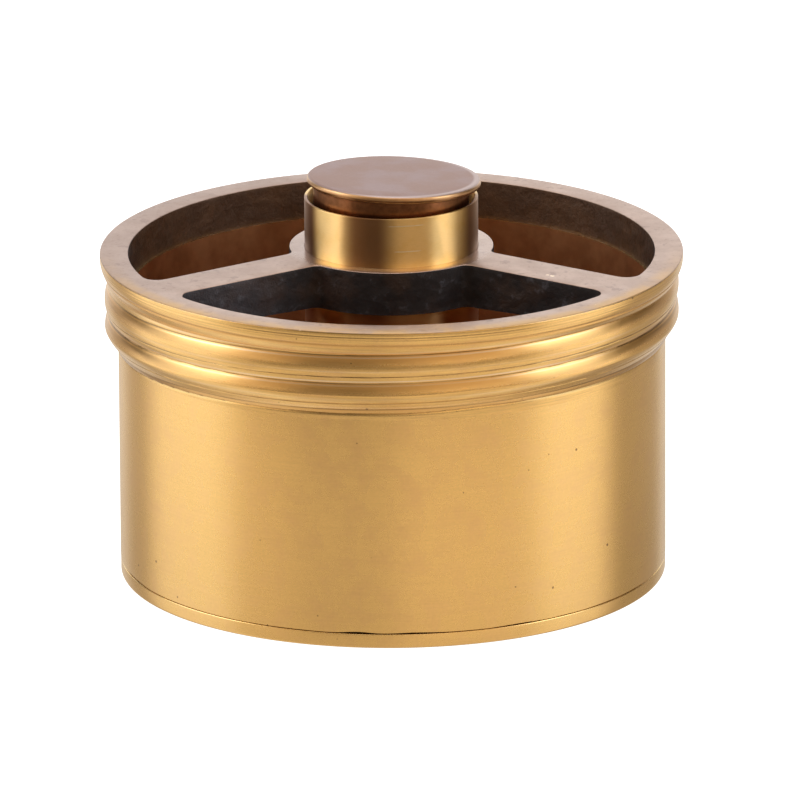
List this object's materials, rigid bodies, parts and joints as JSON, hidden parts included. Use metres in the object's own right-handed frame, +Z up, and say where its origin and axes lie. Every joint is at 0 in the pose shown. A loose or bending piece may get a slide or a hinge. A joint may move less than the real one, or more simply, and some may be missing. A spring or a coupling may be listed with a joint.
{
  "type": "self-closing drain valve core",
  "caption": "Threaded brass cup with a spoked top, a central sprung push button on a guided stem, and a gasketed closing disc held up against its lower lip.",
  "frame": {"origin": "centre of the closing disc's underside, on the common axis, valve closed", "axes": "+Z up along the common axis towards the button; one spoke points along +Y"},
  "size_m": [0.048, 0.048, 0.0337],
  "materials": {
    "turned_brass": "satin turned brass",
    "polished_brass": "polished drawn brass tube",
    "aged_bronze": "satin, browned with age",
    "stainless": "plain stainless steel",
    "seal_rubber": "black rubber",
    "bush_plastic": "off-white bearing plastic"
  },
  "bodies": {
    "housing": {"valve_body": "turned_brass", "guide_sleeve": "polished_brass", "sleeve_end_plug": "turned_brass", "stem_bush": "bush_plastic", "bush_circlip": "stainless", "lower_spring_washer": "stainless", "return_spring": "stainless"},
    "plunger": {"push_button": "aged_bronze", "button_lock_nut": "turned_brass", "upper_spring_washer": "stainless", "valve_stem": "turned_brass", "stem_lock_washer": "stainless", "gasket_clamp_plate": "stainless", "seal_gasket": "seal_rubber", "closing_disc": "turned_brass", "disc_screw": "stainless"}
  },
  "joints": [
    {"name": "plunger_slide", "type": "slide", "parent": "housing", "child": "plunger", "axis": [0, 0, -1], "range_m": [0, 0.0006], "stiffness_N_per_m": 600, "springref_m": -0.006, "deforming": ["return_spring"]}
  ]
}
